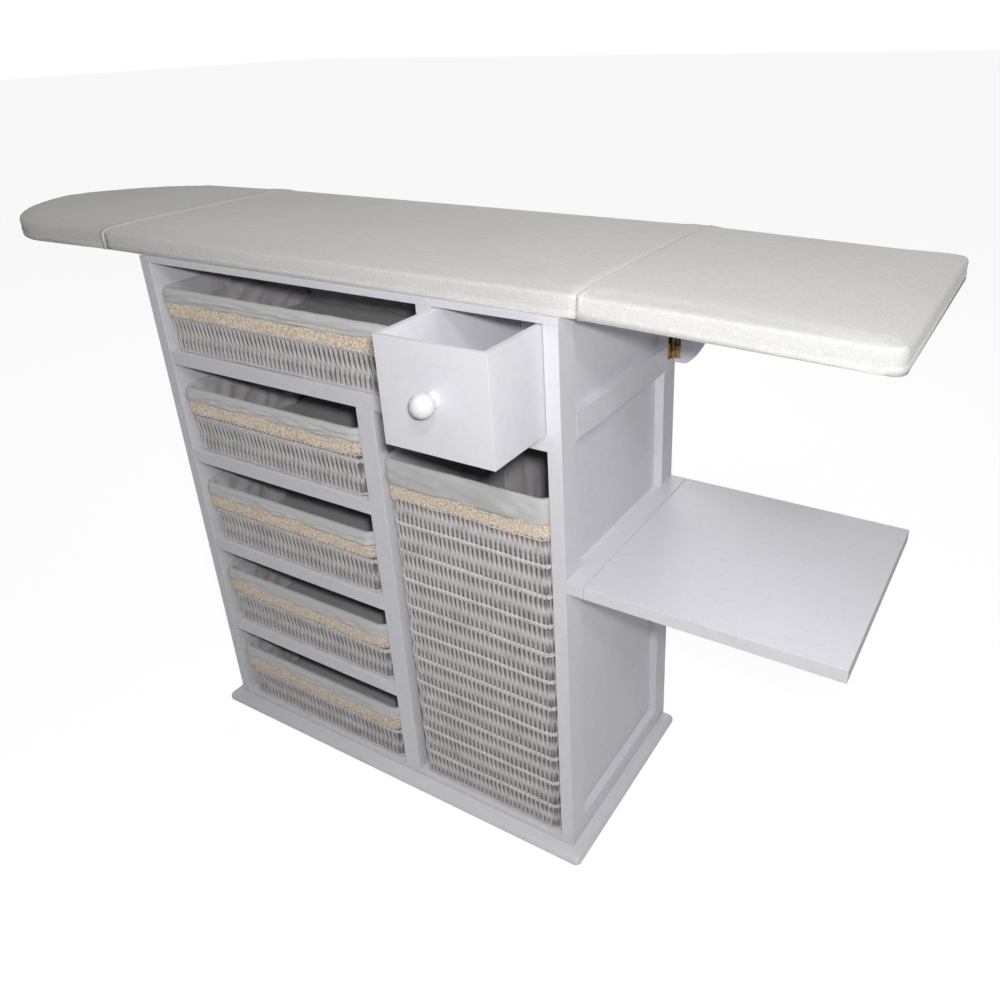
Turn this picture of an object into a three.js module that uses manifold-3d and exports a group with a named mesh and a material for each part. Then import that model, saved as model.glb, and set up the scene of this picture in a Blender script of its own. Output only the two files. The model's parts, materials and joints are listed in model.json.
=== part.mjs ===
// Ironing-board cabinet: a painted wooden carcass with lined wicker baskets and one
// drawer, a padded board with two drop flaps on top, and a drop shelf on its right side.
// Millimetres, +Z up, the front faces -Y. The origin is the centre of the base board's
// underside, on the floor.
import * as THREE from 'three';
import { mergeVertices } from 'three/addons/utils/BufferGeometryUtils.js';
import Module from 'manifold-3d';

const wasm = await Module();
wasm.setup();

// ---- driving dimensions -------------------------------------------------------

// carcass
const cabinetWidth = 704;
const cabinetDepth = 323;
const boardUnderside = 828;
const baseThickness = 16;
const baseSideOverhang = 20;
const baseFrontOverhang = 20;
const baseRearOverhang = 3;
const thinPanel = 9;
const sheetThickness = 5;
const postWidth = 19.5;
const postDepth = 37;
const railThickness = 13;
const upperRailHeight = 36;
const upperRailDrop = 125;
const middleRailHeight = 24;
const middleRailDrop = 4;
const bottomRailHeight = 30;
const backInset = 2;

// bays
const shelfThickness = 21.5;
const topBayHeight = 133.6;
const smallBayCount = 4;
const tallBayWidth = 267.5;
const lowerDividerWidth = 29;
const dividerStileDepth = 20;
const dividerPanel = 12;
const drawerBayWidth = 153.5;
const upperDividerWidth = 22.5;

// baskets and liners
const basketFrontInset = 1;
const basketRearGap = 27;
const basketSideClearance = 5;
const tallSideClearance = 2;
const basketWall = 7;
const basketFloor = 8;
const basketCorner = 18;
const basketTaper = 4;
const tallRowHeight = 47.2;
const lowRowHeight = 56;
const rowRelief = 1.6;
const smallBasketHeadroom = 37.6;
const wideBasketHeadroom = 36.6;
const tallBasketHeadroom = 69.9;
const linerThickness = 1.2;
const linerFold = 40;
const tallLinerFold = 56;
const softGap = 0.4;
const restGap = 0.3;

// drawer
const drawerPull = 103;
const drawerRearGap = 31;
const drawerSideClearance = 1;
const drawerTopClearance = 1.5;
const drawerFrontThickness = 6;
const drawerWall = 9;
const drawerBottomRaise = 5;
const knobRadius = 14;
const knobNeckRadius = 7.5;
const knobNeckLength = 5;
const knobBaseRadius = 10.5;
const knobBaseThickness = 2;
const knobShoulder = 1;
const knobRise = 3;

// padded board and flaps
const boardFront = 5;
const boardDepth = 378;
const padHeight = 30;
const padWrap = 3;
const padEdgeRadius = 7;
const padCrown = 2;
const crownShoulderRun = 21;
const crownFlatRun = 56;
const coreThickness = 12;
const rightOverhang = 19;
const leftOverhang = 80;
const seamGap = 0.8;
const rightFlapLength = 335;
const leftFlapLength = 402;
const leftFlapStraight = 180;
const noseExponent = 1.6;
const flapCorner = 14;
const leastCorner = 1;
const rightDroop = 1.7;
const leftDroop = 1.0;

// drop shelf
const battenWidth = 25;
const flapTipClearance = 1.2;
const dropShelfThickness = 18;
const dropShelfLength = 321;
const dropShelfGap = 0.6;

// swing arms
const armThickness = 11;
const armPinBack = 15.5;
const armFoot = 17;
const armBevelRise = 34;
const armBevelRun = 27.2;
const armBowAlong = 0.45;
const armBowUp = 0.12;
const armNoseSlope = 1.2;
const armTopStart = 0.6;
const flapArmHeight = 152.5;
const shelfArmHeight = 105;
const rightArmReach = 55;
const leftArmReach = 105;
const shelfArmReach = 58;
const armClearance = 0.8;
const armPinGap = 0.5;

// hinges
const knuckleRadius = 3;
const leafThickness = 1.5;
const pinRadius = 1.4;
const pinPlay = 0.3;
const pinEnd = 1;
const knuckleGap = 0.4;
const leafGap = 0.4;
const armHingeLength = 96;
const armHingeFoot = 7;
const armLeafWidth = 10;
const armKnuckles = 5;
const seamHingeLength = 216;
const seamHingeFront = 30;
const seamLeafWidth = 15;
const seamKnuckles = 9;

// ---- worked-out places --------------------------------------------------------

const middleX = cabinetWidth / 2;
const middleY = (cabinetDepth + baseRearOverhang - baseFrontOverhang) / 2;
const carcassTop = boardUnderside - thinPanel;
const floorTop = baseThickness + thinPanel;
const backFront = cabinetDepth - backInset - sheetThickness;
const innerLeft = postWidth;
const innerRight = cabinetWidth - postWidth;
const midShelfTop = carcassTop - topBayHeight;
const midShelfUnder = midShelfTop - shelfThickness;
const smallBayPitch = (midShelfTop - floorTop) / smallBayCount;
const smallBayHeight = smallBayPitch - shelfThickness;
const lowerDividerRight = innerRight - tallBayWidth;
const lowerDividerLeft = lowerDividerRight - lowerDividerWidth;
const upperDividerRight = innerRight - drawerBayWidth;
const upperDividerLeft = upperDividerRight - upperDividerWidth;
const basketDepth = backFront - basketRearGap - basketFrontInset;
const smallBasketHeight = smallBayHeight - smallBasketHeadroom;
const wideBasketHeight = topBayHeight - wideBasketHeadroom;
const tallBasketHeight = midShelfUnder - floorTop - tallBasketHeadroom;
const drawerLength = backFront - drawerRearGap;
const rightSeam = cabinetWidth + rightOverhang;
const leftSeam = -leftOverhang;
const pinDepth = knuckleRadius + restGap;
const upperRailTop = boardUnderside - upperRailDrop;
const battenOuter = cabinetWidth + battenWidth;
const dropShelfTop = boardUnderside - pinDepth - rightFlapLength - flapTipClearance;
const battenUnder = dropShelfTop - dropShelfThickness;
const armPinY = cabinetDepth - armPinBack;

// ---- materials ----------------------------------------------------------------

const paint = { color: 0xe6e4ea, roughness: 0.42, metalness: 0 };
const linen = { color: 0xd6d4cd, roughness: 0.95, metalness: 0 };
const wicker = { color: 0xabaaa7, roughness: 0.8, metalness: 0 };
const cotton = { color: 0xb5b7b1, roughness: 0.95, metalness: 0 };
const brass = { color: 0x8a6a3a, roughness: 0.45, metalness: 0.9 };

const cabinet = new THREE.Group();
cabinet.name = 'ironing_board_cabinet';
cabinet.position.set(-middleX, -middleY, 0);

function addMesh(parent, name, geometry, finish) {
  const mesh = new THREE.Mesh(geometry, new THREE.MeshStandardMaterial(finish));
  mesh.name = name;
  parent.add(mesh);
  return mesh;
}

// a board from its low corner to its high corner
function addBoard(parent, name, low, high, finish = paint) {
  const size = high.map((value, axis) => value - low[axis]);
  const board = addMesh(parent, name, new THREE.BoxGeometry(...size), finish);
  board.position.set(...low.map((value, axis) => value + size[axis] / 2));
  return board;
}

function addGroup(parent, x, y, z) {
  const group = new THREE.Group();
  group.position.set(x, y, z);
  parent.add(group);
  return group;
}

// ---- solids that join and cut -------------------------------------------------

function toSolid(geometry) {
  const plain = geometry.clone();
  plain.deleteAttribute('normal');
  plain.deleteAttribute('uv');
  const merged = mergeVertices(plain, 1e-4);
  const mesh = new wasm.Mesh({
    numProp: 3,
    vertProperties: new Float32Array(merged.attributes.position.array),
    triVerts: new Uint32Array(merged.index.array),
  });
  return new wasm.Manifold(mesh);
}

function toGeometry(solid) {
  const mesh = solid.getMesh();
  const geometry = new THREE.BufferGeometry();
  geometry.setAttribute('position', new THREE.BufferAttribute(new Float32Array(mesh.vertProperties), 3));
  geometry.setIndex(new THREE.BufferAttribute(new Uint32Array(mesh.triVerts), 1));
  geometry.computeVertexNormals();
  return geometry;
}

// ---- lofts: rings of equal count, closed by a fan at each end -----------------

function loft(rings) {
  const count = rings[0].length;
  const points = rings.flat();
  const faces = [];
  rings.slice(1).forEach((ring, level) => {
    for (let i = 0; i < count; i += 1) {
      const j = (i + 1) % count;
      const low = level * count;
      const high = low + count;
      faces.push(low + i, low + j, high + j);
      faces.push(low + i, high + j, high + i);
    }
  });
  const last = (rings.length - 1) * count;
  for (let i = 1; i < count - 1; i += 1) {
    faces.push(0, i + 1, i);
    faces.push(last, last + i, last + i + 1);
  }
  const geometry = new THREE.BufferGeometry();
  geometry.setAttribute('position', new THREE.Float32BufferAttribute(points.flat(), 3));
  geometry.setIndex(faces);
  geometry.computeVertexNormals();
  return geometry;
}

// a rectangle with round corners, anticlockwise seen from above
function roundedRing(width, depth, radius, z, steps = 4) {
  const corners = [[1, -1, -90], [1, 1, 0], [-1, 1, 90], [-1, -1, 180]];
  return corners.flatMap(([sideX, sideY, start]) =>
    Array.from({ length: steps + 1 }, (_, step) => {
      const angle = THREE.MathUtils.degToRad(start + (90 * step) / steps);
      return [
        sideX * (width / 2 - radius) + radius * Math.cos(angle),
        sideY * (depth / 2 - radius) + radius * Math.sin(angle),
        z,
      ];
    }));
}

// ---- carcass ------------------------------------------------------------------

function baseBoard() {
  const width = cabinetWidth + 2 * baseSideOverhang;
  const depth = cabinetDepth + baseFrontOverhang + baseRearOverhang;
  const nosing = baseThickness / 2;
  const steps = 5;
  const rings = Array.from({ length: steps + 1 }, (_, step) => {
    const angle = (Math.PI * step) / steps - Math.PI / 2;
    const inset = nosing * (1 - Math.cos(angle));
    const z = nosing * (1 + Math.sin(angle));
    return roundedRing(width - 2 * inset, depth - 2 * inset, nosing + 1 - inset, z, 3);
  });
  const board = addMesh(cabinet, 'base_board', loft(rings), paint);
  board.position.set(middleX, middleY, 0);
}

function posts() {
  const columns = [['left', 0], ['right', innerRight]];
  const rows = [['front', 0], ['rear', cabinetDepth - postDepth]];
  columns.forEach(([side, x]) => rows.forEach(([end, y]) => addBoard(
    cabinet, `${end}_post_${side}`,
    [x, y, baseThickness], [x + postWidth, y + postDepth, carcassTop],
  )));
}

function sideFrames() {
  const nearY = postDepth;
  const farY = cabinetDepth - postDepth;
  const railRight = cabinetWidth - railThickness;
  const sides = [
    { side: 'left', railX: 0, sheetX: railThickness },
    { side: 'right', railX: railRight, sheetX: railRight - sheetThickness },
  ];
  sides.forEach(({ side, railX, sheetX }) => {
    const rail = (name, low, high) => addBoard(
      cabinet, `${name}_${side}`, [railX, nearY, low], [railX + railThickness, farY, high],
    );
    rail('bottom_rail', baseThickness, baseThickness + bottomRailHeight);
    rail('upper_rail', upperRailTop - upperRailHeight, upperRailTop);
    if (side === 'right') {
      const top = dropShelfTop - middleRailDrop;
      rail('middle_rail', top - middleRailHeight, top);
    }
    addBoard(
      cabinet, `side_panel_${side}`,
      [sheetX, nearY, baseThickness], [sheetX + sheetThickness, farY, carcassTop],
    );
  });
}

function panelsAndShelves() {
  addBoard(cabinet, 'top_panel', [0, 0, carcassTop], [cabinetWidth, cabinetDepth, boardUnderside]);
  addBoard(cabinet, 'bottom_panel', [innerLeft, 0, baseThickness], [innerRight, backFront, floorTop]);
  addBoard(
    cabinet, 'back_panel',
    [innerLeft, backFront, baseThickness], [innerRight, backFront + sheetThickness, carcassTop],
  );
  addBoard(cabinet, 'shelf_top_row', [innerLeft, 0, midShelfUnder], [innerRight, backFront, midShelfTop]);
  for (let bay = 1; bay < smallBayCount; bay += 1) {
    const under = floorTop + bay * smallBayPitch - shelfThickness;
    addBoard(
      cabinet, `shelf_${smallBayCount - bay}`,
      [innerLeft, 0, under], [lowerDividerLeft, backFront, under + shelfThickness],
    );
  }
}

function dividers() {
  const section = new THREE.Shape();
  section.moveTo(0, 0);
  section.lineTo(lowerDividerWidth, 0);
  section.lineTo(lowerDividerWidth, dividerStileDepth);
  section.lineTo(dividerPanel, dividerStileDepth);
  section.lineTo(dividerPanel, backFront);
  section.lineTo(0, backFront);
  const height = midShelfUnder - floorTop;
  const lower = new THREE.ExtrudeGeometry(section, { depth: height, bevelEnabled: false });
  addMesh(cabinet, 'lower_divider', lower, paint).position.set(lowerDividerLeft, 0, floorTop);
  addBoard(
    cabinet, 'upper_divider',
    [upperDividerLeft, 0, midShelfTop], [upperDividerRight, backFront, carcassTop],
  );
}

// ---- baskets ------------------------------------------------------------------

// An open basket with a floor, standing on z = 0, a little narrower at its foot. Its woven
// wall stands proud at each row's rods, and sinks back halfway between them.
function basketGeometry(width, height, rowHeight) {
  const ring = (inset, z) => {
    const taper = basketTaper * (1 - z / height);
    return roundedRing(
      width - 2 * (inset + taper), basketDepth - 2 * (inset + taper), basketCorner - inset, z,
    );
  };
  const outside = [];
  for (let rod = 0; rod < height; rod += rowHeight) {
    const hollow = rod + rowHeight / 2;
    outside.push(ring(0, rod));
    if (hollow < height - rowHeight / 4) {
      outside.push(ring(rowRelief, hollow));
    }
  }
  return loft([
    ...outside, ring(0, height), ring(basketWall, height), ring(basketWall, basketFloor),
  ]);
}

// a cloth liner: floor, walls, over the rim and down the outside by fold
function linerGeometry(width, height, fold) {
  const rimTop = height + softGap;
  const ring = (inset, z) => {
    const taper = basketTaper * (1 - Math.min(z, height) / height);
    return roundedRing(
      width - 2 * (inset + taper), basketDepth - 2 * (inset + taper), basketCorner - inset, z,
    );
  };
  const wallOuter = basketWall + softGap;
  const wallInner = wallOuter + linerThickness;
  const bandInner = -softGap;
  const bandOuter = bandInner - linerThickness;
  return loft([
    ring(wallOuter, basketFloor + softGap),
    ring(wallOuter, rimTop),
    ring(bandInner, rimTop),
    ring(bandInner, height - fold),
    ring(bandOuter, height - fold),
    ring(bandOuter, rimTop + linerThickness),
    ring(wallInner, rimTop + linerThickness),
    ring(wallInner, basketFloor + softGap + linerThickness),
  ]);
}

function addBasket(name, bay, height, fold, rowHeight) {
  const width = bay.right - bay.left - 2 * bay.clearance;
  const centre = (bay.left + bay.right) / 2;
  const place = addGroup(cabinet, centre, basketFrontInset + basketDepth / 2, bay.floor + restGap);
  addMesh(place, `${name}_basket`, basketGeometry(width, height, rowHeight), wicker);
  addMesh(place, `${name}_liner`, linerGeometry(width, height, fold), cotton);
}

function baskets() {
  addBasket('wide', {
    left: innerLeft, right: upperDividerLeft, floor: midShelfTop, clearance: basketSideClearance,
  }, wideBasketHeight, linerFold, lowRowHeight);
  for (let row = 1; row <= smallBayCount; row += 1) {
    const floor = floorTop + (smallBayCount - row) * smallBayPitch;
    addBasket(`small_${row}`, {
      left: innerLeft, right: lowerDividerLeft, floor, clearance: basketSideClearance,
    }, smallBasketHeight, linerFold, lowRowHeight);
  }
  addBasket('tall', {
    left: lowerDividerRight, right: innerRight, floor: floorTop, clearance: tallSideClearance,
  }, tallBasketHeight, tallLinerFold, tallRowHeight);
}

// ---- drawer -------------------------------------------------------------------

function drawer() {
  const left = upperDividerRight + drawerSideClearance;
  const right = innerRight - drawerSideClearance;
  const low = midShelfTop + restGap;
  const high = carcassTop - drawerTopClearance;
  const width = right - left;
  const inner = drawerLength - drawerFrontThickness;
  const place = addGroup(cabinet, left, -drawerPull, low);
  addBoard(place, 'drawer_front', [0, 0, 0], [width, drawerFrontThickness, high - low]);

  const walls = new THREE.Shape();
  walls.moveTo(0, 0);
  walls.lineTo(drawerWall, 0);
  walls.lineTo(drawerWall, inner - drawerWall);
  walls.lineTo(width - drawerWall, inner - drawerWall);
  walls.lineTo(width - drawerWall, 0);
  walls.lineTo(width, 0);
  walls.lineTo(width, inner);
  walls.lineTo(0, inner);
  const box = new THREE.ExtrudeGeometry(walls, { depth: high - low, bevelEnabled: false });
  addMesh(place, 'drawer_box', box, paint).position.set(0, drawerFrontThickness, 0);
  addBoard(
    place, 'drawer_bottom',
    [drawerWall, drawerFrontThickness, drawerBottomRaise],
    [width - drawerWall, drawerLength - drawerWall, drawerBottomRaise + sheetThickness],
  );

  const turned = new THREE.Path();
  turned.moveTo(0, 0);
  turned.lineTo(knobBaseRadius, 0);
  turned.lineTo(knobBaseRadius, knobBaseThickness);
  turned.lineTo(knobNeckRadius, knobBaseThickness + knobShoulder);
  turned.lineTo(knobNeckRadius, knobBaseThickness + knobNeckLength);
  const ballStart = Math.asin(knobNeckRadius / knobRadius);
  const ballCentre = knobBaseThickness + knobNeckLength + knobRadius * Math.cos(ballStart);
  turned.absarc(0, ballCentre, knobRadius, ballStart - Math.PI / 2, Math.PI / 2, false);
  const knobPoints = turned.getPoints(12).map((p) => new THREE.Vector2(Math.max(p.x, 0), p.y));
  const knob = addMesh(place, 'drawer_knob', new THREE.LatheGeometry(knobPoints, 24), paint);
  knob.rotation.x = Math.PI;
  knob.position.set(width / 2, 0, (high - low) / 2 + knobRise);
}

// ---- padded board -------------------------------------------------------------

// a straight-sided outline with round corners at the free end, from the seam outward
function flapOutline(length, inset) {
  const radius = Math.max(flapCorner - inset, leastCorner);
  const far = length - inset;
  const low = inset;
  const high = boardDepth - inset;
  const arc = (centreY, start) => Array.from({ length: 7 }, (_, step) => {
    const angle = THREE.MathUtils.degToRad(start + 15 * step);
    return [far - radius + radius * Math.cos(angle), centreY + radius * Math.sin(angle)];
  });
  return [[inset, low], ...arc(low + radius, -90), ...arc(high - radius, 0), [inset, high]];
}

// the left flap's outline: straight, then a nose that narrows to its tip
function noseOutline(inset) {
  const steps = 24;
  const halfWidth = boardDepth / 2 - inset;
  const nose = Array.from({ length: steps + 1 }, (_, step) => {
    const angle = (Math.PI * step) / steps - Math.PI / 2;
    const along = Math.abs(Math.cos(angle)) ** (2 / noseExponent);
    const across = Math.sign(Math.sin(angle)) * Math.abs(Math.sin(angle)) ** (2 / noseExponent);
    return [
      leftFlapStraight + (leftFlapLength - inset - leftFlapStraight) * along,
      boardDepth / 2 + halfWidth * across,
    ];
  });
  return [[inset, inset], ...nose, [inset, boardDepth - inset]];
}

function centreOutline(length, inset) {
  return [
    [inset, inset],
    [length - inset, inset],
    [length - inset, boardDepth - inset],
    [inset, boardDepth - inset],
  ];
}

const atHeight = (outline, z) => outline.map(([x, y]) => [x, y, z]);

// a plywood core, its underside on z = 0
function coreGeometry(outlineAt) {
  const outline = outlineAt(padWrap);
  return loft([atHeight(outline, 0), atHeight(outline, coreThickness)]);
}

// the padding and its cover: a cap over the core, with round upper edges and a low crown
function padGeometry(outlineAt) {
  const cavity = padWrap - softGap;
  const shoulder = padHeight - padCrown - padEdgeRadius;
  const edge = [0, 30, 60, 90].map((degrees) => {
    const angle = THREE.MathUtils.degToRad(degrees);
    const inset = padEdgeRadius * (1 - Math.cos(angle));
    return atHeight(outlineAt(inset), shoulder + padEdgeRadius * Math.sin(angle));
  });
  return loft([
    atHeight(outlineAt(cavity), coreThickness + softGap),
    atHeight(outlineAt(cavity), 0),
    atHeight(outlineAt(0), 0),
    ...edge,
    atHeight(outlineAt(crownShoulderRun), padHeight - padCrown / 3),
    atHeight(outlineAt(crownFlatRun), padHeight),
  ]);
}

function mirrored(geometry) {
  const flipped = geometry.clone().applyMatrix4(new THREE.Matrix4().makeScale(-1, 1, 1));
  const index = flipped.index.array;
  for (let face = 0; face < index.length; face += 3) {
    [index[face], index[face + 1]] = [index[face + 1], index[face]];
  }
  return flipped;
}

// a flap's frame has its origin on the hinge pin, just under the board
function flapFrame(seam, droop) {
  const frame = addGroup(cabinet, seam, boardFront, boardUnderside - pinDepth);
  frame.rotation.y = THREE.MathUtils.degToRad(droop);
  return frame;
}

function paddedBoard() {
  const centreLength = rightSeam - leftSeam - seamGap;
  const centre = addGroup(cabinet, leftSeam + seamGap / 2, boardFront, boardUnderside);
  const centreAt = (inset) => centreOutline(centreLength, inset);
  addMesh(centre, 'centre_board_core', coreGeometry(centreAt), paint);
  addMesh(centre, 'centre_pad', padGeometry(centreAt), linen);

  const right = flapFrame(rightSeam, rightDroop);
  const rightAt = (inset) => flapOutline(rightFlapLength - seamGap / 2, inset);
  addMesh(right, 'right_flap_core', coreGeometry(rightAt), paint).position.set(seamGap / 2, 0, pinDepth);
  addMesh(right, 'right_pad', padGeometry(rightAt), linen).position.set(seamGap / 2, 0, pinDepth);

  const left = flapFrame(leftSeam, -leftDroop);
  const core = addMesh(left, 'left_flap_core', mirrored(coreGeometry(noseOutline)), paint);
  core.position.set(-seamGap / 2, 0, pinDepth);
  const pad = addMesh(left, 'left_pad', mirrored(padGeometry(noseOutline)), linen);
  pad.position.set(-seamGap / 2, 0, pinDepth);
  return { left, right };
}

// ---- drop shelf ---------------------------------------------------------------

function dropShelf() {
  addBoard(
    cabinet, 'shelf_batten',
    [cabinetWidth, 0, battenUnder], [battenOuter, cabinetDepth, dropShelfTop],
  );
  addBoard(
    cabinet, 'drop_shelf',
    [battenOuter + dropShelfGap, 0, battenUnder],
    [battenOuter + dropShelfLength, cabinetDepth, dropShelfTop],
  );
}

// ---- hinges -------------------------------------------------------------------

// One half of a butt hinge whose pin lies on Z from 0 to length. Its leaf runs along +X
// and lies against a face at y = knuckleRadius. The half with even knuckles holds the pin.
function hingeHalf(length, leafWidth, count, holdsPin) {
  const pitch = length / count;
  const barrel = (radius, low, high) => {
    const cylinder = new THREE.CylinderGeometry(radius, radius, high - low, 16);
    cylinder.rotateX(Math.PI / 2);
    cylinder.translate(0, 0, (low + high) / 2);
    return toSolid(cylinder);
  };
  const leafBox = new THREE.BoxGeometry(leafWidth - leafGap, leafThickness, length);
  leafBox.translate((leafWidth + leafGap) / 2, knuckleRadius - leafThickness / 2, length / 2);
  let half = toSolid(leafBox);
  for (let knuckle = 0; knuckle < count; knuckle += 1) {
    const low = knuckle * pitch;
    const high = low + pitch;
    const mine = (knuckle % 2 === 0) === holdsPin;
    half = mine
      ? half.add(barrel(knuckleRadius, low + knuckleGap / 2, high - knuckleGap / 2))
      : half.subtract(barrel(knuckleRadius + pinPlay, low - knuckleGap / 2, high + knuckleGap / 2));
  }
  const whole = holdsPin
    ? half.add(barrel(pinRadius, pinEnd, length - pinEnd))
    : half.subtract(barrel(pinRadius + pinPlay, -pinEnd, length + pinEnd));
  return toGeometry(whole);
}

// turns a hinge half's pin from Z to Y, its leaf along X in the given direction,
// against the face above it
function lieUnder(geometry, direction) {
  geometry.rotateX(Math.PI / 2);
  if (direction < 0) {
    geometry.rotateZ(Math.PI);
  }
  return geometry;
}

function seamHinge(name, seam, under, fixedSide, movingParent, yShift) {
  const half = (holdsPin, direction) => {
    const geometry = lieUnder(hingeHalf(seamHingeLength, seamLeafWidth, seamKnuckles, holdsPin), direction);
    geometry.computeBoundingBox();
    geometry.translate(0, seamHingeFront - geometry.boundingBox.min.y, 0);
    return geometry;
  };
  const fixed = addMesh(cabinet, `${name}_fixed_leaf`, half(true, fixedSide), brass);
  fixed.position.set(seam, 0, under - pinDepth);
  const moving = addMesh(movingParent, `${name}_moving_leaf`, half(false, -fixedSide), brass);
  moving.position.set(0, -yShift, 0);
}

// ---- swing arms ---------------------------------------------------------------

// How far a folding leaf's underside, hinged at pinAhead beyond the arm's pin, comes down
// over the arm's point at this reach while both turn together
function clearDrop(reach, pinAhead, droop) {
  const rearFace = knuckleRadius + armThickness;
  let drop = 0;
  for (let degrees = 0; degrees < 90 - droop; degrees += 1) {
    const turn = THREE.MathUtils.degToRad(degrees);
    const tilt = THREE.MathUtils.degToRad(degrees + droop);
    const out = reach * Math.cos(turn) + rearFace * Math.sin(turn) - pinAhead;
    const rise = pinDepth * (1 / Math.cos(tilt) - 1);
    drop = Math.max(drop, out * Math.tan(tilt) - rise);
  }
  return drop;
}

// an arm's outline: a foot, a bevel up to its nose, and a top edge that clears the leaf
function armShape(side, height, reach, pinAhead, droop) {
  const shape = new THREE.Shape();
  shape.moveTo(side * armPinGap, 0);
  shape.lineTo(side * armFoot, 0);
  const bevelRun = Math.min(reach - armFoot, armBevelRun);
  shape.quadraticCurveTo(
    side * (armFoot + bevelRun * armBowAlong), armBevelRise * armBowUp,
    side * (armFoot + bevelRun), armBevelRise,
  );
  shape.lineTo(side * reach, armBevelRise + (reach - armFoot - bevelRun) * armNoseSlope);
  const steps = 10;
  for (let step = 0; step <= steps; step += 1) {
    const at = reach + ((pinAhead * armTopStart - reach) * step) / steps;
    const drop = clearDrop(at, pinAhead, droop) + armClearance;
    shape.lineTo(side * at, height - drop);
  }
  shape.lineTo(side * armPinGap, height - armClearance);
  return shape;
}

function swingArm(name, side, top, height, reach, hinged, droop) {
  const face = side > 0 ? cabinetWidth : 0;
  const pinX = face + side * knuckleRadius;
  const pinAhead = side * (hinged - pinX);
  const place = addGroup(cabinet, pinX, armPinY, top - height);

  const outline = armShape(side, height, reach, pinAhead, droop);
  const extrusion = { depth: armThickness, bevelEnabled: false, curveSegments: 6 };
  const arm = new THREE.ExtrudeGeometry(outline, extrusion);
  arm.rotateX(Math.PI / 2);
  arm.translate(0, armThickness + knuckleRadius, 0);
  addMesh(place, `${name}_arm`, arm, paint);

  const moving = hingeHalf(armHingeLength, armLeafWidth, armKnuckles, false);
  const fixed = hingeHalf(armHingeLength, armLeafWidth, armKnuckles, true);
  const movingLeaf = side > 0 ? moving : mirrored(moving);
  fixed.rotateZ(-Math.PI / 2);
  const fixedLeaf = side > 0 ? mirrored(fixed) : fixed;
  addMesh(place, `${name}_arm_moving_leaf`, movingLeaf, brass).position.set(0, 0, armHingeFoot);
  addMesh(place, `${name}_arm_fixed_leaf`, fixedLeaf, brass).position.set(0, 0, armHingeFoot);
}

// ---- assembly -----------------------------------------------------------------

baseBoard();
posts();
sideFrames();
panelsAndShelves();
dividers();
baskets();
drawer();
const flaps = paddedBoard();
dropShelf();
seamHinge('left_flap_hinge', leftSeam, boardUnderside, 1, flaps.left, boardFront);
seamHinge('right_flap_hinge', rightSeam, boardUnderside, -1, flaps.right, boardFront);
const shelfFrame = addGroup(cabinet, battenOuter, 0, battenUnder - pinDepth);
seamHinge('drop_shelf_hinge', battenOuter, battenUnder, -1, shelfFrame, 0);
swingArm('left', -1, boardUnderside, flapArmHeight, leftArmReach, leftSeam, leftDroop);
swingArm('right', 1, boardUnderside, flapArmHeight, rightArmReach, rightSeam, rightDroop);
swingArm('shelf', 1, battenUnder, shelfArmHeight, shelfArmReach, battenOuter, 0);

export default cabinet;
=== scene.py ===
"""Ironing-board cabinet: painted boards, woven baskets with cloth liners, a drawer,
and a padded board with two drop flaps."""

import json
import math

import bmesh
import bpy
from bpy.props import FloatProperty, FloatVectorProperty, IntProperty, PointerProperty
from mathutils import Matrix, Vector, noise


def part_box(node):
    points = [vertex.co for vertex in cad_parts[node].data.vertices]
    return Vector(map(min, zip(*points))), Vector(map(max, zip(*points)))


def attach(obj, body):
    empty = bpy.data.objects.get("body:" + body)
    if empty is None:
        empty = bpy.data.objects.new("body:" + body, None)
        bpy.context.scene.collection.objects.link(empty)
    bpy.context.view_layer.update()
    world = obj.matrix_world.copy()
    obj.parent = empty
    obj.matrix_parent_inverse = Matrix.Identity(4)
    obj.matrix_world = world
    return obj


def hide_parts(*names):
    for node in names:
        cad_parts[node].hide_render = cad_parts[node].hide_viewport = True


bl_info = {
    "name": "Ironing-Board Cabinet",
    "version": (1, 0, 0),
    "blender": (4, 5, 0),
    "location": "View3D > Sidebar > Cabinet",
    "description": "Finishes the packed model of an ironing-board cabinet",
    "category": "Object",
}

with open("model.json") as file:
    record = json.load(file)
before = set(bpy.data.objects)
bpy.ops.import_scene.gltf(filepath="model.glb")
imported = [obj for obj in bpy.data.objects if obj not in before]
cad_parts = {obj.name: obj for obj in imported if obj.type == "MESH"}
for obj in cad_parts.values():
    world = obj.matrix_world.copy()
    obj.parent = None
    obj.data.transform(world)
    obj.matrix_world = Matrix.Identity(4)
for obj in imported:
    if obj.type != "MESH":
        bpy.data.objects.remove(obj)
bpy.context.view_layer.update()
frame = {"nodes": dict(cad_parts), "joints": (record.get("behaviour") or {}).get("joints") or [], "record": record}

RECORD = frame["record"]
SLOTS = {part["node"]: part["material_slot"] for part in RECORD["subparts"]}

MM = 0.001
MERGE = 1e-6
UP = Vector((0, 0, 1))
BASKETS = ("wide", "small_1", "small_2", "small_3", "small_4", "tall")
PAINTED_SHADE = "painted_shade"  # the mesh attribute that says how deep in shade a point lies
ROW_LEVELS = (0.0, 0.105, 0.285, 0.5, 0.715, 0.895)  # where a strand bends within a row
FLOOR_THICKNESS = 5 * MM
BORDER = 2.3 * MM  # radius of the rods along a basket's foot and rim
LINER_FLOOR = 8.5 * MM  # the liner's floor, above the basket's foot
RIM_ROLL = 3 * MM  # how far below its top the cloth starts to turn over the rim
LACE_ROWS = 6
SEAM_REACH = 60 * MM  # how far along a pad its rounded edge is filled out to the seam
LONGEST_EDGE = 14 * MM  # of a cloth band, before it is laid on its pad
BAND_GAP = 0.6 * MM  # from a pad's foot or seam to the edge of the band beside it
LEAF_THICKNESS = 1.5 * MM
SCREW_SHARES = (-0.36, 0.0, 0.36)  # along a hinge leaf, from its middle


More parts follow.
